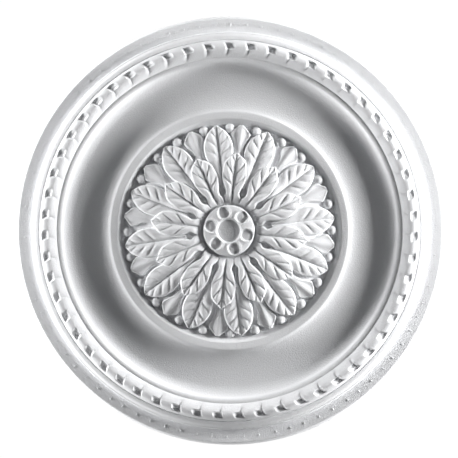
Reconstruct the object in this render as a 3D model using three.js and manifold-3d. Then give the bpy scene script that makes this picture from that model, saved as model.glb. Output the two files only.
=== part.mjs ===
// A round moulded ceiling rose, lying on its flat back with the ornament facing +Z.
// The origin is the centre of the back, the face that is glued to the ceiling. Sizes are in millimetres.
import * as THREE from "three";
import { mergeVertices } from "three/addons/utils/BufferGeometryUtils.js";
import Module from "manifold-3d";

// The plain turned mouldings, as radii from the outer edge inward
const ROSE_RADIUS = 229;
const STEP_RADIUS = 211;
const LEDGE_RADIUS = 209.6;
const SHOULDER_OUTER_RADIUS = 207.4;
const SHOULDER_INNER_RADIUS = 203.1;
const OUTER_QUIRK_RADIUS = 202.5;
const HUSK_RADIUS = 192.2;
const HUSK_HALF_WIDTH = 10;
const INNER_QUIRK_RADIUS = 182.8;
const LIP_RADIUS = 180;
const COVE_RADIUS = 165;
const FILLET_OUTER_RADIUS = 126.2;
const FILLET_INNER_RADIUS = 118.9;
const GROUND_RADIUS = 113.2;

// Their heights above the flat back, and the roundings of their edges
const EDGE_HEIGHT = 6.2;
const BRIM_HEIGHT = 8.3;
const STEP_HEIGHT = 14.4;
const LEDGE_HEIGHT = 14.8;
const SHOULDER_OUTER_HEIGHT = 18.4;
const SHOULDER_INNER_HEIGHT = 20.2;
const OUTER_QUIRK_HEIGHT = 19.3;
const INNER_QUIRK_HEIGHT = 21.5;
const LIP_HEIGHT = 21.6;
const COVE_HEIGHT = 11.2;
const FILLET_HEIGHT = 21.4;
const GROUND_HEIGHT = 15.8;
const EDGE_DRAFT = 2.1;
const EDGE_ROUND = 1.7;
const STEP_DRAFT = 0.9;
const LIP_ROUND = 1.8;
const LIP_DROP = 1.4;
const FILLET_ROUND = 1;

// How far the cove's two sides turn up from its lowest circle, in degrees of a squashed arc
const COVE_INNER_TURN = 80;
const COVE_OUTER_TURN = 70;

// The husk ring: scales that lap over one another round the ring, each with a sunk eye at its mouth
const HUSK_COUNT = 55;
const HUSK_PITCH = 360 / HUSK_COUNT;
const HUSK_PHASE = 86.1;
const HUSK_HEIGHT = 26.9;
const HUSK_FOOT = 20;
const HUSK_SKEW = 0.16;
const HUSK_ROUNDNESS = 0.95;
const HUSK_BULGE = 1.5;
const HUSK_DRAFT = 0.7;
const EYE_HEIGHT = 23.5;
const EYE_ACROSS = 0.3;
const HUSK_ACROSS = [1, 0.7, EYE_ACROSS, -0.45, -1];
const HUSK_STAGES = [
  { turn: -HUSK_PITCH / 2, bulge: HUSK_BULGE / 2, swell: 1, hasEye: false },
  { turn: -HUSK_DRAFT, bulge: HUSK_BULGE, swell: 0.78, hasEye: true },
  { turn: 0, bulge: HUSK_BULGE, swell: 0.97, hasEye: false },
];

// The flower: three tiers of pointed leaves. Each half of a leaf is a soft pillow beside the midrib, and
// slanting gouges cross it. A midrib below zero stands up as a ridge. A leaf's margin is a curve through
// [radius, half width, height] points from its base, near the hub, out to its tip.
const LEAVES_PER_TIER = 12;
const LEAF_FLOOR = 8;
const PILLOW_START = 0.25;
const PILLOW_END = 0.2;
const BACK_TIER = {
  phase: 22.5, slant: 0.5, pillow: 0, midrib: -2, gouge: 0, rows: 4, columns: 2,
  margin: [[80, 5, 25], [90, 5.4, 24], [97, 8.4, 22.6], [102.5, 10.6, 21.2], [112.4, 0.9, 18.8]],
};
const MIDDLE_TIER = {
  phase: 7.5, slant: 0.75, pillow: 2, midrib: 1, gouge: 1.4, rows: 6, columns: 4,
  margin: [
    [46, 3, 32.2], [60, 5, 31.6], [73, 12.2, 28.6], [84, 15.3, 26.8],
    [95, 14.7, 24.2], [104.5, 9.2, 21.4], [112.4, 0.9, 19],
  ],
};
const FRONT_TIER = {
  phase: 23.5, slant: 0.95, pillow: 2, midrib: 1, gouge: 1.4, rows: 6, columns: 4,
  margin: [
    [29.6, 8, 30], [34.5, 9.2, 31.9], [40.5, 7.4, 32.8], [49.5, 11.4, 33.2],
    [60, 13.6, 32.6], [72.5, 10.9, 31], [82.7, 0.9, 28.2],
  ],
};

// The pearls that show between the leaf tips
const PEARL_COUNT = 24;
const PEARL_RADIUS = 5.4;
const PEARL_CIRCLE = 108.6;
const PEARL_HEIGHT = 16.2;

// The hub: a button with a low rounded ring, a sunk disc and dimples pressed in the ring. It stands in a
// narrow gap, and the leaves spring from the dome round it. Drops are measured down from the ring's crest.
const HUB_HEIGHT = 34.8;
const DISC_RADIUS = 11.8;
const DISC_DROP = 2.8;
const DISC_LIP_RADIUS = 13.2;
const DISC_LIP_DROP = 0.6;
const HUB_CREST_RADIUS = 19.4;
const HUB_SHOULDER_RADIUS = 25.6;
const HUB_SHOULDER_DROP = 1.1;
const HUB_RADIUS = 27.2;
const HUB_EDGE_DROP = 3.2;
const GAP_HEIGHT = 28.2;
const PIT_RADIUS = 38;
const PIT_HEIGHT = 30.8;
const DOME_CROWN_RADIUS = 82;
const DOME_CROWN_HEIGHT = 24.2;
const DOME_RADIUS = 108;
const DOME_HEIGHT = 15.8;
const DIMPLE_COUNT = 6;
const DIMPLE_PHASE = 46;
const DIMPLE_CIRCLE = 20;
const DIMPLE_RADIUS = 5.8;
const DIMPLE_DEPTH = 1.9;

// How finely the round shapes are divided
const RIM_SEGMENTS = 60;
const DISH_SEGMENTS = 42;
const HUB_SEGMENTS = 28;
const COVE_STEPS = 3;
const PEARL_SIDES = 5;
const PEARL_RINGS = 3;
const DIMPLE_SIDES = 8;

const FOAM_COLOUR = 0xeceded;
const FOAM_ROUGHNESS = 0.75;

const { clamp, lerp, degToRad } = THREE.MathUtils;
const wasm = await Module();
wasm.setup();

// A closed solid from a geometry, with its shared corners welded together.
function solidFrom(geometry) {
  const bare = geometry.clone();
  bare.deleteAttribute("normal");
  bare.deleteAttribute("uv");
  const welded = mergeVertices(bare, 1e-4);
  return new wasm.Manifold(
    new wasm.Mesh({
      numProp: 3,
      vertProperties: welded.attributes.position.array,
      triVerts: new Uint32Array(welded.index.array),
    }),
  );
}

// A geometry turned about Z from [radius, height] points, out along the bottom and back over the top.
function turned(profile, segments) {
  const points = profile.map(([radius, height]) => new THREE.Vector2(radius, height));
  return new THREE.LatheGeometry(points, segments).rotateX(Math.PI / 2);
}

// Solids from copies of a geometry spaced evenly round the Z axis, the first turned to the phase angle.
function around(geometry, count, phase) {
  const copies = [];
  for (let index = 0; index < count; index++) {
    const angle = degToRad(phase + (index * 360) / count);
    copies.push(solidFrom(geometry.clone().rotateZ(angle)));
  }
  return copies;
}

// One side of the cove, from just inside its edge down to just short of its lowest circle.
function coveSweep([edgeRadius, edgeHeight], turn) {
  const points = [];
  const whole = degToRad(turn);
  for (let step = COVE_STEPS - 1; step > 0; step--) {
    const angle = (step / COVE_STEPS) * whole;
    const radius = lerp(COVE_RADIUS, edgeRadius, Math.sin(angle) / Math.sin(whole));
    const height = lerp(COVE_HEIGHT, edgeHeight, (1 - Math.cos(angle)) / (1 - Math.cos(whole)));
    points.push([radius, height]);
  }
  return points;
}

// The outer rim: a drafted edge, a low brim, a step with a narrow ledge, and a shoulder up to the husks.
function rim() {
  const profile = [
    [0, 0],
    [ROSE_RADIUS, 0],
    [ROSE_RADIUS - EDGE_DRAFT, EDGE_HEIGHT],
    [ROSE_RADIUS - EDGE_DRAFT - EDGE_ROUND, EDGE_HEIGHT + EDGE_ROUND],
    [STEP_RADIUS + STEP_DRAFT, BRIM_HEIGHT],
    [STEP_RADIUS, STEP_HEIGHT],
    [LEDGE_RADIUS, LEDGE_HEIGHT],
    [SHOULDER_OUTER_RADIUS, SHOULDER_OUTER_HEIGHT],
    [SHOULDER_INNER_RADIUS, SHOULDER_INNER_HEIGHT],
    [OUTER_QUIRK_RADIUS, OUTER_QUIRK_HEIGHT],
    [HUSK_RADIUS, HUSK_FOOT],
    [HUSK_RADIUS, EDGE_HEIGHT],
    [0, EDGE_HEIGHT],
  ];
  return solidFrom(turned(profile, RIM_SEGMENTS));
}

// The dish inside the husk ring: a small lip, the wide cove, a flat fillet, and the ground of the flower.
function dish() {
  const lipEdge = [LIP_RADIUS - LIP_ROUND, LIP_HEIGHT - LIP_DROP];
  const filletEdge = [FILLET_OUTER_RADIUS + FILLET_ROUND, FILLET_HEIGHT - FILLET_ROUND];
  const profile = [
    [0, EDGE_HEIGHT / 2],
    [HUSK_RADIUS + HUSK_HALF_WIDTH / 2, EDGE_HEIGHT / 2],
    [HUSK_RADIUS - HUSK_HALF_WIDTH / 2, HUSK_FOOT],
    [INNER_QUIRK_RADIUS, INNER_QUIRK_HEIGHT],
    [LIP_RADIUS, LIP_HEIGHT],
    lipEdge,
    ...coveSweep(lipEdge, COVE_OUTER_TURN),
    [COVE_RADIUS, COVE_HEIGHT],
    ...coveSweep(filletEdge, COVE_INNER_TURN).reverse(),
    filletEdge,
    [FILLET_OUTER_RADIUS, FILLET_HEIGHT],
    [FILLET_INNER_RADIUS, FILLET_HEIGHT],
    [GROUND_RADIUS, GROUND_HEIGHT],
    [0, GROUND_HEIGHT],
  ];
  return solidFrom(turned(profile, DISH_SEGMENTS));
}

// How high the husk ring stands at a place across it, as a share of its crown. The crown leans outward.
function huskRound(across) {
  const skewed = (across - HUSK_SKEW) / (1 - HUSK_SKEW * across);
  return (1 - skewed * skewed) ** HUSK_ROUNDNESS;
}

// The husk ring: a half-round ring whose corners are moved so that each scale rises from under the last,
// swells, and ends in a round lip that drops steeply to its eye.
function huskRing() {
  const crown = HUSK_HEIGHT - HUSK_FOOT;
  const underside = BRIM_HEIGHT;
  const outline = [
    [HUSK_RADIUS - HUSK_HALF_WIDTH, underside],
    [HUSK_RADIUS + HUSK_HALF_WIDTH, underside],
    ...HUSK_ACROSS.map((across) => [
      HUSK_RADIUS + across * HUSK_HALF_WIDTH,
      HUSK_FOOT + crown * huskRound(across),
    ]),
    [HUSK_RADIUS - HUSK_HALF_WIDTH, underside],
  ];
  const segments = HUSK_COUNT * HUSK_STAGES.length;
  const ring = turned(outline, segments);
  const corners = ring.attributes.position;
  for (let index = 0; index < corners.count; index++) {
    const [radius, height] = outline[index % outline.length];
    const segment = Math.floor(index / outline.length) % segments;
    const stage = HUSK_STAGES[segment % HUSK_STAGES.length];
    const lipAngle = HUSK_PHASE + Math.floor(segment / HUSK_STAGES.length) * HUSK_PITCH;
    const across = (radius - HUSK_RADIUS) / HUSK_HALF_WIDTH;
    const angle = degToRad(lipAngle + stage.turn - stage.bulge * (1 - across * across));
    const rise = Math.max(0, height - HUSK_FOOT);
    const isEye = stage.hasEye && rise > 0 && across === EYE_ACROSS;
    const top = isEye ? EYE_HEIGHT : height - rise * (1 - stage.swell);
    corners.setXYZ(index, radius * Math.cos(angle), radius * Math.sin(angle), top);
  }
  return solidFrom(ring);
}

// One leaf along +X: a block whose corners are moved to a pointed outline. Each half of its top is swollen
// beside the midrib, and gouged between ribs that slant towards the tip.
function leaf(tier) {
  const margin = new THREE.CatmullRomCurve3(
    tier.margin.map((point) => new THREE.Vector3(...point)), false, "catmullrom",
  );
  const block = new THREE.BoxGeometry(1, 1, 1, tier.rows, tier.columns, 1);
  const corners = block.attributes.position;
  for (let index = 0; index < corners.count; index++) {
    const along = corners.getX(index) + 0.5;
    const across = corners.getY(index) * 2;
    const side = Math.abs(across);
    const share = 1 - (1 - along) ** (1 + tier.slant * side);
    const edge = margin.getPoint(share);
    let height = LEAF_FLOOR;
    if (corners.getZ(index) > 0) {
      const isGouge = Math.round(along * tier.rows) % 2 === 1 && side > 0 && side < 1;
      const bulk = clamp(share / PILLOW_START, 0, 1) * clamp((1 - share) / PILLOW_END, 0, 1);
      height = edge.z + tier.pillow * bulk * 4 * side * (1 - side);
      height -= tier.midrib * bulk * Math.max(0, 1 - 2 * side);
      height -= isGouge ? tier.gouge * Math.sin(Math.PI * along) : 0;
    }
    corners.setXYZ(index, edge.x, across * edge.y, height);
  }
  return block;
}

// The hub in its gap, and the low dome that carries the leaves.
function hub() {
  const profile = [
    [0, EDGE_HEIGHT],
    [DOME_RADIUS, EDGE_HEIGHT],
    [DOME_RADIUS, DOME_HEIGHT],
    [DOME_CROWN_RADIUS, DOME_CROWN_HEIGHT],
    [PIT_RADIUS, PIT_HEIGHT],
    [HUB_RADIUS, GAP_HEIGHT],
    [HUB_RADIUS, HUB_HEIGHT - HUB_EDGE_DROP],
    [HUB_SHOULDER_RADIUS, HUB_HEIGHT - HUB_SHOULDER_DROP],
    [HUB_CREST_RADIUS, HUB_HEIGHT],
    [DISC_LIP_RADIUS, HUB_HEIGHT - DISC_LIP_DROP],
    [DISC_RADIUS, HUB_HEIGHT - DISC_DROP],
    [0, HUB_HEIGHT - DISC_DROP],
  ];
  const dimple = new THREE.SphereGeometry(DIMPLE_RADIUS, DIMPLE_SIDES, DIMPLE_SIDES / 2);
  dimple.rotateX(Math.PI / 2);
  dimple.scale(1, 1, DIMPLE_DEPTH / DIMPLE_RADIUS);
  dimple.translate(DIMPLE_CIRCLE, 0, HUB_HEIGHT);
  const dimples = around(dimple, DIMPLE_COUNT, DIMPLE_PHASE);
  const button = solidFrom(turned(profile, HUB_SEGMENTS));
  return dimples.reduce((left, cut) => left.subtract(cut), button);
}

// The ring of pearls that peeps out between the leaf tips.
function pearls() {
  const pearl = new THREE.SphereGeometry(PEARL_RADIUS, PEARL_SIDES, PEARL_RINGS);
  pearl.rotateX(Math.PI / 2);
  pearl.translate(PEARL_CIRCLE, 0, PEARL_HEIGHT);
  return around(pearl, PEARL_COUNT, 0);
}

// The whole rose is one moulded piece, so every form is joined into one solid.
function rose() {
  const leaves = [BACK_TIER, MIDDLE_TIER, FRONT_TIER].flatMap((tier) =>
    around(leaf(tier), LEAVES_PER_TIER, tier.phase),
  );
  const forms = [dish(), huskRing(), hub(), ...pearls(), ...leaves];
  const joined = forms.reduce((whole, form) => whole.add(form), rim());
  const { vertProperties, triVerts } = joined.getMesh();
  const geometry = new THREE.BufferGeometry();
  geometry.setAttribute("position", new THREE.BufferAttribute(vertProperties, 3));
  geometry.setIndex(new THREE.BufferAttribute(triVerts, 1));
  geometry.computeVertexNormals();
  return geometry;
}

const foam = new THREE.MeshStandardMaterial({ color: FOAM_COLOUR, roughness: FOAM_ROUGHNESS });
const ceilingRose = new THREE.Mesh(rose(), foam);
ceilingRose.name = "ceiling_rose";

const group = new THREE.Group();
group.add(ceilingRose);
export default group;
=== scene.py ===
# %% [markdown]
# # A moulded ceiling rose
# The rose is one white foam moulding: turned mouldings, a ring of lapped husks, and a flower of three
# tiers of leaves round a button hub. Each form is made here on its own, finely, and at the end all of them
# are fused into one closed mesh, because the real rose comes out of its mould in one piece.
# It lies on its flat back with the ornament facing up, in the frame of the solid model.

# %% Load the frame
import math

import bpy
import numpy as np
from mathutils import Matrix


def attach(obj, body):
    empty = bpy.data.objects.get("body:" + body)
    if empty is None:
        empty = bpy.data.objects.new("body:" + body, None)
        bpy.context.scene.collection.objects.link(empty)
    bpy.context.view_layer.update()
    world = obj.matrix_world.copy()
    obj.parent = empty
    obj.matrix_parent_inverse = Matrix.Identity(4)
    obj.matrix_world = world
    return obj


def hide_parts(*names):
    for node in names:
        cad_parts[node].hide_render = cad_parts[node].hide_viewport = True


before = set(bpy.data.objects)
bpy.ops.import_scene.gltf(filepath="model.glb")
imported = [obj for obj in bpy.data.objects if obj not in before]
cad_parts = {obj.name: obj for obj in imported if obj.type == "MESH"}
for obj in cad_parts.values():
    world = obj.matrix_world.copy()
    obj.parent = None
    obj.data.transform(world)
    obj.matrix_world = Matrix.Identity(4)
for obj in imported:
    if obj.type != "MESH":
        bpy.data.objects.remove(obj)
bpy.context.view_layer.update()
MM = 0.001

# %% [markdown]
# ## Sockets that work as numbers
# Node trees are easier to read as arithmetic than as boxes and wires. This small class holds one output
# socket. Adding or multiplying two of them adds a Math node, and `add` makes any other kind of node, so a
# tree for a shape and a tree for a finish are written in the same way.

# %% The socket class
class Wire:
    """An output socket that takes part in arithmetic by adding nodes to its tree."""

    def __init__(self, tree, socket):
        self.tree = tree
        self.socket = socket

    @classmethod
    def add(cls, tree, kind, settings=None, sockets=None, output=0):
        node = tree.nodes.new(kind)
        for name, value in (settings or {}).items():
            setattr(node, name, value)
        for key, value in (sockets or {}).items():
            for single in value if isinstance(value, list) else [value]:
                if isinstance(single, cls):
                    tree.links.new(single.socket, node.inputs[key])
                else:
                    node.inputs[key].default_value = single
        return cls(tree, node.outputs[output])

    def maths(self, operation, *values):
        return Wire.add(self.tree, "ShaderNodeMath", {"operation": operation}, dict(enumerate(values)))

    def __add__(self, other):
        return self.maths("ADD", self, other)

    def __sub__(self, other):
        return self.maths("SUBTRACT", self, other)

    def __rsub__(self, other):
        return self.maths("SUBTRACT", other, self)

    def __mul__(self, other):
        return self.maths("MULTIPLY", self, other)

    def __truediv__(self, other):
        return self.maths("DIVIDE", self, other)

    def __rtruediv__(self, other):
        return self.maths("DIVIDE", other, self)

    def __pow__(self, other):
        return self.maths("POWER", self, other)

    __radd__ = __add__
    __rmul__ = __mul__


def smooth_step(wire, low, high):
    sockets = {"Value": wire, "From Min": low, "From Max": high}
    return Wire.add(wire.tree, "ShaderNodeMapRange", {"interpolation_type": "SMOOTHSTEP"}, sockets)


print("sockets ready")

# %% [markdown]
# ## Foam
# Expanded foam is made of beads about two millimetres wide that were steamed together in the mould. The
# skin is matt white, with faint seams where beads meet, a fine grain, and here and there a small pip. All
# of it is procedural: cell noise for the beads and pips, plain noise for the grain.

# %% Foam finish
BEADS_PER_METRE = 420.0
PIP_CELLS_PER_METRE = 75.0
GRAINS_PER_METRE = 620.0
CLOUDS_PER_METRE = 28.0
SHADED_WHITE = (0.88, 0.885, 0.90, 1)
CLEAN_WHITE = (0.95, 0.955, 0.96, 1)
RELIEF_DEPTH = 0.6 * MM


def foam_finish():
    material = bpy.data.materials.new("moulded_foam_skin")
    material.use_nodes = True
    tree = material.node_tree
    skin = tree.nodes["Principled BSDF"]
    place = Wire.add(tree, "ShaderNodeTexCoord", output=3)

    def noise(scale, detail):
        sockets = {"Vector": place, "Scale": scale, "Detail": detail}
        return Wire.add(tree, "ShaderNodeTexNoise", {}, sockets)

    beads = {"Vector": place, "Scale": BEADS_PER_METRE}
    bead_edge = Wire.add(tree, "ShaderNodeTexVoronoi", {"feature": "DISTANCE_TO_EDGE"}, beads)
    seam = 1 - smooth_step(bead_edge, 0.0, 0.12)
    pip_cells = {"Vector": place, "Scale": PIP_CELLS_PER_METRE}
    pip_near = Wire.add(tree, "ShaderNodeTexVoronoi", {}, pip_cells)
    pip = 1 - smooth_step(pip_near, 0.03, 0.06)
    grain = noise(GRAINS_PER_METRE, 3.0)
    cloud = noise(CLOUDS_PER_METRE, 2.0)

    tone = 0.45 * cloud + 0.35 * grain + 0.5 * pip - 0.25 * seam
    whites = {0: tone, 6: SHADED_WHITE, 7: CLEAN_WHITE}
    colour = Wire.add(tree, "ShaderNodeMix", {"data_type": "RGBA"}, whites, output=2)
    roughness = 0.5 + 0.2 * grain + 0.1 * seam
    relief = 0.5 * grain - 0.35 * seam + 1.2 * pip
    bump = Wire.add(
        tree, "ShaderNodeBump", {}, {"Height": relief, "Strength": 0.6, "Distance": RELIEF_DEPTH}
    )
    tree.links.new(colour.socket, skin.inputs["Base Color"])
    tree.links.new(roughness.socket, skin.inputs["Roughness"])
    tree.links.new(bump.socket, skin.inputs["Normal"])
    skin.inputs["Specular IOR Level"].default_value = 0.08
    skin.inputs["Diffuse Roughness"].default_value = 0.7
    return material


foam = foam_finish()
print("finish", foam.name, len(foam.node_tree.nodes), "nodes")

# %% [markdown]
# ## Growing meshes with node trees
# Two helpers serve every piece. One opens a geometry tree with named sizes, the other runs a tree on a
# starting mesh and keeps the result as a plain mesh. A tree's sizes are set by each socket's identifier,
# before the object is first evaluated.

# %% Tree helpers
SOCKETS = {int: "NodeSocketInt", float: "NodeSocketFloat", object: "NodeSocketObject"}


def open_tree(name, sizes):
    tree = bpy.data.node_groups.new(name, "GeometryNodeTree")
    tree.interface.new_socket("Geometry", in_out="INPUT", socket_type="NodeSocketGeometry")
    for label, kind in sizes.items():
        tree.interface.new_socket(label, in_out="INPUT", socket_type=SOCKETS[kind])
    tree.interface.new_socket("Geometry", in_out="OUTPUT", socket_type="NodeSocketGeometry")
    entry = tree.nodes.new("NodeGroupInput")
    return tree, {socket.name: Wire(tree, socket) for socket in entry.outputs if socket.name}


def close_tree(tree, geometry):
    realised = Wire.add(tree, "GeometryNodeRealizeInstances", {}, {0: geometry})
    coated = Wire.add(tree, "GeometryNodeSetMaterial", {}, {0: realised, "Material": foam})
    leave = tree.nodes.new("NodeGroupOutput")
    tree.links.new(coated.socket, leave.inputs[0])
    return tree


def mesh_of(name, points, edges=(), faces=()):
    mesh = bpy.data.meshes.new(name)
    mesh.from_pydata([tuple(map(float, point)) for point in np.asarray(points) * MM], edges, faces)
    return mesh


def grown(name, mesh, tree, sizes):
    piece = bpy.data.objects.new(name, mesh)
    bpy.context.collection.objects.link(piece)
    modifier = piece.modifiers.new(tree.name, "NODES")
    modifier.node_group = tree
    for socket in tree.interface.items_tree:
        if socket.in_out == "INPUT" and socket.name in sizes:
            modifier[socket.identifier] = sizes[socket.name]
    seen = piece.evaluated_get(bpy.context.evaluated_depsgraph_get())
    plain = bpy.data.meshes.new_from_object(seen)
    piece.modifiers.remove(modifier)
    piece.data = plain
    print(name, len(plain.polygons), "faces")
    return piece


print("tree helpers ready")

# %% [markdown]
# ## Turned mouldings
# Brim, steps, quirk, lip, cove and fillet all follow one rule: a profile turned about the middle. A
# screw modifier could do that. A tree does it with a grid instead: each row of the grid takes the radius
# and the height of one profile point, each column takes an angle, and the seam is merged. The number of
# columns stays a size that can be changed.

# %% Turning tree
def turning_tree():
    tree, size = open_tree("turned moulding", {"Segments": int})
    count = Wire.add(tree, "GeometryNodeAttributeDomainSize", {}, {0: size["Geometry"]})
    sides = {"Size X": 1.0, "Size Y": 1.0, "Vertices X": count, "Vertices Y": size["Segments"] + 1}
    grid = Wire.add(tree, "GeometryNodeMeshGrid", {}, sides)
    place = Wire.add(tree, "GeometryNodeInputPosition")
    across = Wire.add(tree, "ShaderNodeSeparateXYZ", {}, {0: place}, output=0)
    along = Wire.add(tree, "ShaderNodeSeparateXYZ", {}, {0: place}, output=1)
    row = ((across + 0.5) * (count - 1)).maths("ROUND", (across + 0.5) * (count - 1))
    angle = (along + 0.5) * math.tau
    picked = Wire.add(
        tree,
        "GeometryNodeSampleIndex",
        {"data_type": "FLOAT_VECTOR"},
        {"Geometry": size["Geometry"], "Value": place, "Index": row},
    )
    radius = Wire.add(tree, "ShaderNodeSeparateXYZ", {}, {0: picked}, output=0)
    height = Wire.add(tree, "ShaderNodeSeparateXYZ", {}, {0: picked}, output=2)
    spun = Wire.add(
        tree,
        "ShaderNodeCombineXYZ",
        {},
        {0: radius * angle.maths("COSINE", angle), 1: radius * angle.maths("SINE", angle), 2: height},
    )
    placed = Wire.add(tree, "GeometryNodeSetPosition", {}, {0: grid, "Position": spun})
    closed = Wire.add(tree, "GeometryNodeMergeByDistance", {}, {0: placed, "Distance": 1e-6})
    return close_tree(tree, closed)


turning = turning_tree()
print("tree", turning.name, len(turning.nodes), "nodes")

# %% [markdown]
# A profile is a list of corners, given as radius, height and rounding. Foam has no knife edges, so a
# corner with a rounding is swapped for a short curve. The profile runs out over the top from the middle
# and comes back along the flat back, which makes the faces point outwards.

# %% Profile of the dish and rim
ROUND_STEPS = 4
ROUND_LIMIT = 0.48


def softened(corners):
    spots = np.array([corner[:2] for corner in corners], float)
    profile = []
    for index, spot in enumerate(spots):
        rounding = corners[index][2] if len(corners[index]) > 2 else 0
        if not rounding:
            profile.append(spot)
            continue
        before, after = spots[index - 1] - spot, spots[index + 1] - spot
        start = spot + before * min(ROUND_LIMIT, rounding / np.linalg.norm(before))
        end = spot + after * min(ROUND_LIMIT, rounding / np.linalg.norm(after))
        for part in np.linspace(0, 1, ROUND_STEPS + 1):
            profile.append((1 - part) ** 2 * start + 2 * part * (1 - part) * spot + part**2 * end)
    return profile


def cove_sweep(edge, floor, steps, turn):
    angles = np.linspace(0, math.radians(turn), steps + 1)[1:]
    out = np.sin(angles) / math.sin(angles[-1])
    up = (1 - np.cos(angles)) / (1 - math.cos(angles[-1]))
    wide, tall = edge[0] - floor[0], edge[1] - floor[1]
    return [(floor[0] + wide * x, floor[1] + tall * y) for x, y in zip(out, up)]


ROSE_RADIUS = 229.0
ARRIS_RADIUS = 226.4
COVE_FLOOR = (165.0, 11.2)
COVE_INNER_EDGE = (127.3, 20.5)
COVE_OUTER_EDGE = (178.2, 20.2)
INNER_QUIRK_HEIGHT = 21.5
OUTER_QUIRK_HEIGHT = 19.3
EDGE_HEIGHT = 6.5
GROUND_HEIGHT = 15.8
dish_corners = [
    (0, GROUND_HEIGHT),
    (113.2, GROUND_HEIGHT, 1.2),
    (118.9, 21.3, 0.8),
    (126.2, 21.4, 1.4),
    *cove_sweep(COVE_INNER_EDGE, COVE_FLOOR, 12, 80)[::-1],
    COVE_FLOOR,
    *cove_sweep(COVE_OUTER_EDGE, COVE_FLOOR, 11, 70),
    (179.6, 21.2, 1.4),
    (181.4, 21.6, 0.8),
    (182.8, INNER_QUIRK_HEIGHT, 0.5),
    (202.5, OUTER_QUIRK_HEIGHT, 0.3),
    (203.1, 20.2, 0.5),
    (207.0, 18.9, 2.2),
    (209.3, 15.4, 0.5),
    (209.7, 14.7, 0.3),
    (211.0, 14.4, 0.6),
    (211.9, 8.2, 0.4),
    (213.4, 8.3, 0.6),
    (ARRIS_RADIUS, 8.1, 1.6),
    (ROSE_RADIUS, 0),
    (0, 0),
]
dish_profile = [(radius, 0, height) for radius, height in softened(dish_corners)]
dish = grown("dish", mesh_of("dish", dish_profile), turning, {"Segments": 210})

# %% [markdown]
# ## Hub
# The button in the middle is turned as well: a sunk disc inside a low rounded ring with six thumb-shaped
# dimples, standing in a narrow gap. The domed bed of the flower belongs to the same profile. The dimples
# are pressed in with a second small tree that moves points down by their place in one sixth of the ring,
# with a soft raised edge round each.

# %% Hub
def dimple_tree():
    labels = ["Dimples", "Phase", "Circle", "Radius", "Depth", "Lip"]
    tree, size = open_tree("pressed dimples", {label: float for label in labels})
    place = Wire.add(tree, "GeometryNodeInputPosition")
    x = Wire.add(tree, "ShaderNodeSeparateXYZ", {}, {0: place}, output=0)
    y = Wire.add(tree, "ShaderNodeSeparateXYZ", {}, {0: place}, output=1)
    radius = (x * x + y * y) ** 0.5
    sixth = math.tau / size["Dimples"]
    turn = y.maths("ARCTAN2", y, x) - size["Phase"] + sixth * 0.5
    local = turn.maths("FLOORED_MODULO", turn, sixth) - sixth * 0.5
    side = radius * local / size["Radius"]
    out = (radius - size["Circle"]) / size["Radius"]
    reach = (side * side + out * out * 0.92) ** 0.5
    bowl = 1 - smooth_step(reach, 0.82, 1.0)
    edge = (reach - 1.12) / 0.15
    ridge = (edge * edge * -1.0).maths("EXPONENT", edge * edge * -1.0)
    window = smooth_step(radius, 0.0128, 0.0142) - smooth_step(radius, 0.0253, 0.0260)
    offset = window * (ridge * size["Lip"] - bowl * size["Depth"])
    shift = Wire.add(tree, "ShaderNodeCombineXYZ", {}, {2: offset})
    moved = Wire.add(tree, "GeometryNodeSetPosition", {}, {0: size["Geometry"], "Offset": shift})
    return close_tree(tree, moved)


HUB_RADIUS = 27.2
HUB_HEIGHT = 34.8
DISC_HEIGHT = HUB_HEIGHT - 2.8
DOME_RADIUS = 108.0
CREST_RADIUS = 19.4
CREST_STEP = 0.56
CREST_INNER_CURVE = 0.008
CREST_OUTER_CURVE = 0.03


def crest(start, end, curve):
    radii = np.arange(start, end, CREST_STEP)
    return [(radius, HUB_HEIGHT - curve * (radius - CREST_RADIUS) ** 2) for radius in radii]


hub_corners = [
    (0, DISC_HEIGHT),
    (4, DISC_HEIGHT),
    (8, DISC_HEIGHT),
    (11.7, DISC_HEIGHT, 0.4),
    (12.3, HUB_HEIGHT - 1.2, 0.5),
    (13.2, HUB_HEIGHT - 0.3, 0.6),
    *crest(14.2, 19.2, CREST_INNER_CURVE),
    *crest(CREST_RADIUS, 24.8, CREST_OUTER_CURVE),
    (25.8, HUB_HEIGHT - 1.1, 0.6),
    (26.8, HUB_HEIGHT - 2.0, 0.6),
    (HUB_RADIUS, HUB_HEIGHT - 3.4, 0.6),
    (HUB_RADIUS, 28.2, 0.3),
    (38.0, 30.8),
    (62.0, 28.6),
    (82.0, 24.2),
    (97.0, 20.4),
    (DOME_RADIUS, GROUND_HEIGHT),
    (DOME_RADIUS, EDGE_HEIGHT),
    (0, EDGE_HEIGHT),
]
hub_profile = [(radius, 0, height) for radius, height in softened(hub_corners)]
hub_blank = grown("hub", mesh_of("hub", hub_profile), turning, {"Segments": 132})
dimple_sizes = {
    "Dimples": 6.0,
    "Phase": math.radians(46),
    "Circle": 20.0 * MM,
    "Radius": 6.6 * MM,
    "Depth": 1.7 * MM,
    "Lip": 0.6 * MM,
}
hub = grown("hub_button", hub_blank.data, dimple_tree(), dimple_sizes)
bpy.data.objects.remove(hub_blank)

# %% [markdown]
# ## Rings of copies
# Husks, leaves, pearls and vent pips all stand evenly round the middle. One tree does them all: it puts
# points on the axis, an instance of the piece on each, turns each instance to its angle, and realises
# them. A seeded wobble keeps hand-carved leaves from looking stamped.

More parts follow.
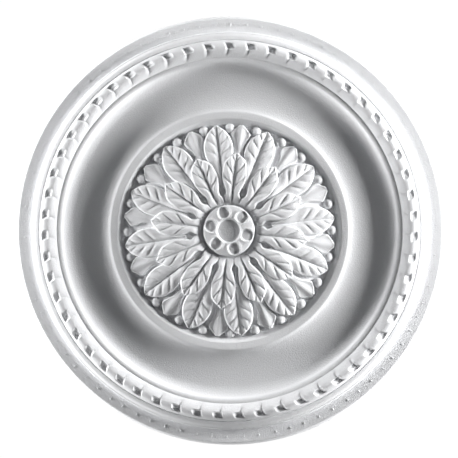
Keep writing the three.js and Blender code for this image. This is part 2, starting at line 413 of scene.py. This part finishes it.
# %% Ring tree
def ring_tree():
    sizes = {"Copies": int, "Phase": float, "Wobble": float, "Seed": int}
    tree, size = open_tree("ring of copies", sizes)
    points = Wire.add(tree, "GeometryNodePoints", {}, {"Count": size["Copies"]})
    index = Wire.add(tree, "GeometryNodeInputIndex")
    wobble = Wire.add(
        tree,
        "FunctionNodeRandomValue",
        {"data_type": "FLOAT"},
        {2: -1.0, 3: 1.0, "Seed": size["Seed"]},
        output=1,
    )
    angle = size["Phase"] + index * math.tau / size["Copies"] + wobble * size["Wobble"]
    turn = Wire.add(tree, "ShaderNodeCombineXYZ", {}, {2: angle})
    copies = Wire.add(
        tree,
        "GeometryNodeInstanceOnPoints",
        {},
        {"Points": points, "Instance": size["Geometry"], "Rotation": turn},
    )
    realised = Wire.add(tree, "GeometryNodeRealizeInstances", {}, {0: copies})
    joined = Wire.add(tree, "GeometryNodeMergeByDistance", {}, {0: realised, "Distance": 2e-6})
    return close_tree(tree, joined)


ring_of = ring_tree()
print("tree", ring_of.name, len(ring_of.nodes), "nodes")

# %% [markdown]
# ## Husk ring
# The rope-like ring is 55 lapped scales. Each rises from under the lip of the one before it, swells, and
# ends in a round lip that bulges clockwise, with a small sunk eye just beyond. One scale is a strip of
# closed loops, so 55 of them meet end to end and merge into one closed ring. The two lists in EYE_ALONG
# are places along the scale and how deep the eye is there, and SEAM_ALONG does the same for the seam. The
# strip has its points closest together across the eye, whose walls are steep.

# %% One husk
HUSK_COUNT = 55
HUSK_PITCH = 360 / HUSK_COUNT
HUSK_PHASE = 86.1
HUSK_RADIUS = 192.2
HUSK_HALF_WIDTH = 10.0
HUSK_TOP = 26.9
HUSK_FOOT = 20.0
HUSK_SKEW = 0.16
HUSK_SWELL = 1.2
HUSK_FALL = 0.2
HUSK_BULGE = 1.5
HUSK_DRAFT = 0.7
HUSK_ROUNDNESS = 0.95
SWELL_PLACE = 0.55
EYE_DEPTH = 2.8
EYE_INNER = 0.02
EYE_OUTER = 0.7
EYE_WALL = 0.12
EYE_ALONG = [0, 0.2, 0.33, 0.44, 1], [1, 1, 0.65, 0, 0]
SEAM_DEPTH = 0.3
SEAM_ALONG = [0, 0.05, 0.12, 1], [1, 0.6, 0, 0]


def rise_from(value, start, width):
    return np.clip((value - start) / width, 0, 1)


def fall_to(value, end, width):
    return np.clip((end - value) / width, 0, 1)


def husk_height(part, across):
    skewed = (across - HUSK_SKEW) / (1 - HUSK_SKEW * across)
    round_top = np.clip(1 - skewed**2, 0, 1) ** HUSK_ROUNDNESS
    before = np.clip(SWELL_PLACE - part, 0, 1) / SWELL_PLACE
    after = np.clip(part - SWELL_PLACE, 0, 1) / (1 - SWELL_PLACE)
    swell = (HUSK_SWELL * before**2 + HUSK_FALL * after**1.5) * fall_to(np.abs(across - 0.1), 0.9, 0.5)
    scoop = np.interp(part, *EYE_ALONG)
    pit = rise_from(across, EYE_INNER, EYE_WALL) * fall_to(across, EYE_OUTER, EYE_WALL)
    seam = np.interp(part, *SEAM_ALONG) * rise_from(across, -0.75, 0.3) * fall_to(across, 0.66, 0.14)
    cut = np.maximum(EYE_DEPTH * scoop * pit, SEAM_DEPTH * seam)
    return HUSK_FOOT + (HUSK_TOP - HUSK_FOOT) * round_top - swell - cut


def husk_strip():
    parts = [0, 0.06, 0.12, 0.17, 0.21, 0.25, 0.29, 0.33, 0.38, 0.44, 0.5, 0.56, 0.64, 0.76, 0.88, 1]
    inner, eye = -np.cos(np.linspace(0, 0.45 * math.pi, 8)), np.linspace(-0.02, 0.74, 9)
    across = np.concatenate([inner, eye, [0.84, 0.92, 0.97, 0.993, 1]])
    loops = []
    for part in parts + [None]:
        whole = HUSK_PITCH if part is None else part * (HUSK_PITCH - HUSK_DRAFT)
        turn = -HUSK_DRAFT - whole
        angle = np.radians(turn - HUSK_BULGE * (1 - across**2))
        radius = HUSK_RADIUS + across * HUSK_HALF_WIDTH
        top = husk_height(part or 0, across)
        over = np.stack([radius * np.cos(angle), radius * np.sin(angle), top], 1)
        under = over[[-1, 0]]
        under[:, 2] = HUSK_FOOT - 4
        loops.append(np.concatenate([over, under]))
    size = len(loops[0])
    faces = []
    for loop in range(len(loops) - 1):
        for spot in range(size):
            here, there = loop * size + spot, loop * size + (spot + 1) % size
            faces.append((here, here + size, there + size, there))
    return mesh_of("husk", np.concatenate(loops), faces=[face[::-1] for face in faces])


husk_sizes = {"Copies": HUSK_COUNT, "Phase": math.radians(HUSK_PHASE), "Wobble": 0.0, "Seed": 1}
husks = grown("husk_ring", husk_strip(), ring_of, husk_sizes)

# %% [markdown]
# ## Leaves
# A leaf is a pointed oval with a rolled margin. Each half of its blade swells like a pillow on either side
# of a midrib groove, and slanting gouges part the swelling into lobes, as a carver's tool leaves them. The
# mesh is a grid whose rows already slant like the gouges, so a gouge follows the rows and stays crisp. The
# skirt reaches down into the body of the rose, where the fusing will hide it.

# %% One leaf
LEAF_FLOOR = 8.0
SPINE_WIDTH = 3.8
ROLL_INSET = 1.5
ROLL_WIDTH = 1.2
EDGE_SOFTNESS = 1.2
GROOVE_WIDTH = 0.6
GROOVE_SPREAD = 0.25
GOUGE_WIDTH = 1.05
LEAVES_PER_TIER = 12
LEAF_WOBBLE = math.radians(1.2)


def margin_curve(points, share):
    points = np.array(points, float)
    points = np.vstack([2 * points[0] - points[1], points, 2 * points[-1] - points[-2]])
    place = np.clip(share, 0, 1) * (len(points) - 3)
    first = np.minimum(place.astype(int), len(points) - 4)
    part = (place - first)[..., None]
    before, start, end, after = (points[first + step] for step in range(4))
    bend = (2 * before - 5 * start + 4 * end - after) * part**2
    twist = (3 * start - before - 3 * end + after) * part**3
    return start + ((end - before) * part + bend + twist) / 2


def bell(value, width):
    return np.exp(-((value / width) ** 2))


def leaf_height(tier, along, across):
    side = np.abs(across)
    share = 1 - (1 - along) ** (1 + tier["slant"] * side)
    radius, half_width, height = np.moveaxis(margin_curve(tier["margin"], share), -1, 0)
    reach = side * half_width
    inset = half_width - reach
    bulk = fall_to(share, 1.0, 0.2) * rise_from(share, 0, 0.25)
    pillow = bulk * (4 * side * (1 - side) - 0.25 * (1 - side) ** 4)
    height = height + tier["pillow"] * pillow + tier["spine"] * bell(reach, SPINE_WIDTH)
    soft_edge = rise_from(share, 0.1, 0.2) * fall_to(inset, EDGE_SOFTNESS, EDGE_SOFTNESS) ** 2
    height = height + tier["roll"] * bell(inset - ROLL_INSET, ROLL_WIDTH) - EDGE_SOFTNESS * soft_edge
    groove_width = GROOVE_WIDTH + GROOVE_SPREAD * (1 - share)
    height = height - fall_to(share, 0.88, 0.25) * tier["groove"] * bell(reach, groove_width)
    beyond = (along - tier["gouge_start"]) / tier["gouge_pitch"]
    lobe = beyond - np.floor(beyond)
    carved = rise_from(side, 0.05, 0.25) * fall_to(side, 0.92, 0.2)
    carved = carved * rise_from(along, 0.25, 0.12) * fall_to(along, 0.9, 0.1)
    length = tier["margin"][-1][0] - tier["margin"][0][0]
    away = np.minimum(lobe, 1 - lobe) * tier["gouge_pitch"] * length
    height = height + tier["lobe"] * carved * (4 * lobe * (1 - lobe) - 0.5)
    height = height - tier["gouge"] * carved * bell(away, GOUGE_WIDTH)
    return radius, across * half_width, height


def leaf_block(name, tier, rows, columns):
    lines, ranks = np.linspace(0, 1, rows + 1), np.linspace(-1, 1, columns + 1)
    along, across = np.meshgrid(lines, ranks, indexing="ij")
    blade = np.stack(leaf_height(tier, along, across), -1).reshape(-1, 3)
    wide = columns + 1
    faces = []
    for row in range(rows):
        for column in range(columns):
            here = row * wide + column
            faces.append((here, here + wide, here + wide + 1, here + 1))
    margin = [row * wide for row in range(rows + 1)]
    margin += [rows * wide + column for column in range(1, wide)]
    margin += [row * wide + columns for row in range(rows - 1, -1, -1)]
    margin += [column for column in range(columns - 1, 0, -1)]
    skirt = blade[margin]
    skirt[:, 2] = LEAF_FLOOR
    first = len(blade)
    for index, spot in enumerate(margin):
        after = (index + 1) % len(margin)
        faces.append((spot, first + index, first + after, margin[after]))
    faces.append(tuple(range(first + len(margin) - 1, first - 1, -1)))
    return mesh_of(name, np.concatenate([blade, skirt]), faces=faces)


TIERS = {
    "back_leaves": {
        "margin": [(80, 5, 25), (90, 5.4, 24), (97, 8.4, 22.6), (104, 10.4, 20.8), (112.4, 2.2, 18.8)],
        "slant": 0.5, "pillow": 0, "spine": 2.0, "roll": 0.5, "groove": 0,
        "gouge_start": 0, "gouge_pitch": 1, "gouge": 0, "lobe": 0, "phase": 22.5, "seed": 4,
        "grid": (30, 20),
    },
    "middle_leaves": {
        "margin": [
            (46, 3, 32.2), (60, 5, 31.6), (73, 12.2, 28.6), (84, 15.3, 26.8),
            (95, 14.7, 24.2), (105.4, 9.4, 21.3), (112.4, 1.4, 19),
        ],
        "slant": 0.75, "pillow": 2.0, "spine": 0, "roll": 0.5, "groove": 0.5,
        "gouge_start": 0.4, "gouge_pitch": 0.155, "gouge": 0.85, "lobe": 0.7, "phase": 7.5, "seed": 8,
        "grid": (44, 26),
    },
    "front_leaves": {
        "margin": [
            (29.6, 8, 30), (34.5, 9.2, 31.9), (40.5, 7.4, 32.8), (49.5, 11.4, 33.2),
            (60, 13.6, 32.6), (73.4, 11, 30.9), (82.7, 1.4, 28.2),
        ],
        "slant": 0.95, "pillow": 2.0, "spine": 0, "roll": 0.5, "groove": 0.5,
        "gouge_start": 0.42, "gouge_pitch": 0.19, "gouge": 0.85, "lobe": 0.7, "phase": 23.5, "seed": 3,
        "grid": (44, 26),
    },
}
leaves = []
for name, tier in TIERS.items():
    sizes = {"Copies": LEAVES_PER_TIER, "Wobble": LEAF_WOBBLE}
    sizes.update({"Phase": math.radians(tier["phase"]), "Seed": tier["seed"]})
    leaves.append(grown(name, leaf_block(name, tier, *tier["grid"]), ring_of, sizes))

# %% [markdown]
# ## Pearls and vent pips
# Pearls peep out between the leaf tips, and a row of tiny pips round the brim marks the vents of the
# mould. Both are small balls on the ring tree: 24 large ones sunk in the ground, 82 long thin ones on the
# brim.

# %% Pearls and pips
def ball(name, half_sizes, place, rings):
    angles = np.linspace(0, math.pi, rings + 1)[1:-1]
    spots = [(0, 0, 1)]
    for angle in angles:
        for turn in np.linspace(0, math.tau, 2 * rings, endpoint=False):
            out = math.sin(angle)
            spots.append((out * math.cos(turn), out * math.sin(turn), math.cos(angle)))
    spots.append((0, 0, -1))
    wide, last = 2 * rings, len(spots) - 1
    faces = [(0, 1 + side, 1 + (side + 1) % wide) for side in range(wide)]
    for row in range(len(angles) - 1):
        for side in range(wide):
            here, there = 1 + row * wide + side, 1 + row * wide + (side + 1) % wide
            faces.append((here, here + wide, there + wide, there))
    faces += [(last, last - 1 - side, last - 1 - (side + 1) % wide) for side in range(wide)]
    points = np.array(spots) * half_sizes + place
    return mesh_of(name, points, faces=faces)


pearl_sizes = {"Copies": 24, "Phase": 0.0, "Wobble": math.radians(0.8), "Seed": 6}
pearls = grown("pearls", ball("pearl", (5.4, 5.4, 5.4), (108.6, 0, 16.2), 9), ring_of, pearl_sizes)
pip_sizes = {"Copies": 82, "Phase": 0.03, "Wobble": math.radians(0.3), "Seed": 2}
pips = grown("pips", ball("pip", (1.5, 0.6, 0.9), (219.8, 0, 8.2), 3), ring_of, pip_sizes)

# %% [markdown]
# ## Fusing
# The forms overlap inside one another. A Boolean union joins them into one closed skin and drops all that
# is buried, which is what the mould does. It is quick because every form is a closed solid.

# %% Fuse into one moulding
SHARP_ANGLE = math.radians(38)


def fusing_tree(count):
    labels = [f"Form {number}" for number in range(count)]
    tree, size = open_tree("one moulding", {label: object for label in labels})
    forms = [
        Wire.add(tree, "GeometryNodeObjectInfo", {}, {"Object": size[label]}, output=4) for label in labels
    ]
    union = Wire.add(
        tree,
        "GeometryNodeMeshBoolean",
        {"operation": "UNION", "solver": "MANIFOLD"},
        {"Mesh 2": [size["Geometry"], *forms]},
    )
    return close_tree(tree, union)


forms = [hub, husks, *leaves, pearls, pips]
fused = grown(
    "moulded_rose",
    dish.data,
    fusing_tree(len(forms)),
    {f"Form {number}": form for number, form in enumerate(forms)},
)
for form in [dish, *forms]:
    bpy.data.objects.remove(form)
fused.data.shade_smooth()
fused.data.set_sharp_from_angle(angle=SHARP_ANGLE)
triangles = sum(len(face.vertices) - 2 for face in fused.data.polygons)
print("rose", triangles, "triangles")

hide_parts("ceiling_rose")
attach(fused, "root")

# %% [markdown]
# ## Floor
# The rose lies on a floor whose colour is painted light: it is nearly black and glows, as a lit table does,
# so that it stays white round the rose while the lights graze over the relief. The painted glow is a pool
# that fades to pale grey a hand's width beyond the rim, which keeps a white rose from being lost on a white
# floor when it is seen from the side.

# %% Floor
floor_mesh = bpy.data.meshes.new("floor")
POOL_RADIUS = 0.33
half = 4.0
FLOOR_GREY = 0.03
POOL_FADE = 0.58
floor_mesh.from_pydata(
    [(-half, -half, 0), (half, -half, 0), (half, half, 0), (-half, half, 0)], [], [(0, 1, 2, 3)]
)
floor = bpy.data.objects.new("floor", floor_mesh)
bpy.context.collection.objects.link(floor)
painted_glow = bpy.data.materials.new("floor_painted_glow")
painted_glow.use_nodes = True
painted_glow_skin = painted_glow.node_tree.nodes["Principled BSDF"]
painted_glow_skin.inputs["Base Color"].default_value = (FLOOR_GREY, FLOOR_GREY, FLOOR_GREY, 1)
painted_glow_skin.inputs["Roughness"].default_value = 0.9
painted_glow_skin.inputs["Specular IOR Level"].default_value = 0.0
spot = Wire.add(painted_glow.node_tree, "ShaderNodeTexCoord", output=3)
away = Wire.add(painted_glow.node_tree, "ShaderNodeVectorMath", {"operation": "LENGTH"}, {0: spot}, output=1)
# painted light: the floor's colour is an emitted glow, white in a pool round the rose and fading to pale
# grey beyond
glow = 1.0 - POOL_FADE * smooth_step(away, POOL_RADIUS, 2 * POOL_RADIUS)
painted_glow.node_tree.links.new(glow.socket, painted_glow_skin.inputs["Emission Color"])
painted_glow_skin.inputs["Emission Strength"].default_value = 1.0
floor_mesh.materials.append(painted_glow)
print("floor", 2 * half, "m square")

# %% [markdown]
# ## Light and camera
# Low relief shows only under grazing light. Two wide soft lights stand low on either side, the stronger
# one on the right, and they brighten raised forms and leave shade in the cove. Two small fills in front and
# behind keep the rest from going black. The camera looks down from far away through a long lens, as in a
# catalogue picture, and stands a little to the right, because the hub of the pictured rose sits slightly
# left of the middle of its rim.

# %% Lights
def soft_light(name, bearing, lift, distance, wide, tall, power):
    lamp = bpy.data.lights.new(name, "AREA")
    lamp.shape = "RECTANGLE"
    lamp.size = wide
    lamp.size_y = tall
    lamp.energy = power
    light = bpy.data.objects.new(name, lamp)
    bearing, lift = math.radians(bearing), math.radians(lift)
    light.location = (
        distance * math.cos(lift) * math.cos(bearing),
        distance * math.cos(lift) * math.sin(bearing),
        distance * math.sin(lift),
    )
    light.rotation_euler = (math.pi / 2 - lift, 0, bearing + math.pi / 2)
    bpy.context.collection.objects.link(light)
    return light


soft_light("right_light", 12, 11, 2.0, 0.8, 0.6, 100)
soft_light("left_light", 174, 6.2, 2.0, 0.7, 0.42, 82)
soft_light("near_fill", 262, 7, 2.0, 0.7, 0.4, 14)
soft_light("far_fill", 95, 8, 2.0, 0.7, 0.4, 9)
world = bpy.data.worlds.new("studio")
world.use_nodes = True
world.node_tree.nodes["Background"].inputs["Color"].default_value = (0.95, 0.97, 1.0, 1)
world.node_tree.nodes["Background"].inputs["Strength"].default_value = 0.045
bpy.context.scene.world = world
bpy.context.scene.view_settings.view_transform = "Standard"

# %% Camera
IMAGE_SIZE = 458
PIXEL = 1.0664 * MM
CENTRE_PIXEL = (229.9, 230.6)
CAMERA_HEIGHT = 2.4
CAMERA_ASIDE = 0.08
lens = bpy.data.cameras.new("camera")
lens.sensor_width = 36
lens.lens = lens.sensor_width * (CAMERA_HEIGHT - EDGE_HEIGHT * MM) / (IMAGE_SIZE * PIXEL)
camera = bpy.data.objects.new("camera", lens)
right = (IMAGE_SIZE / 2 - CENTRE_PIXEL[0]) * PIXEL
up = (CENTRE_PIXEL[1] - IMAGE_SIZE / 2) * PIXEL
camera.location = (CAMERA_ASIDE + right, up, CAMERA_HEIGHT)
camera.rotation_euler = (0, math.atan2(CAMERA_ASIDE, CAMERA_HEIGHT), 0)
bpy.context.collection.objects.link(camera)
bpy.context.scene.camera = camera
print("lens", round(lens.lens, 1), "mm")
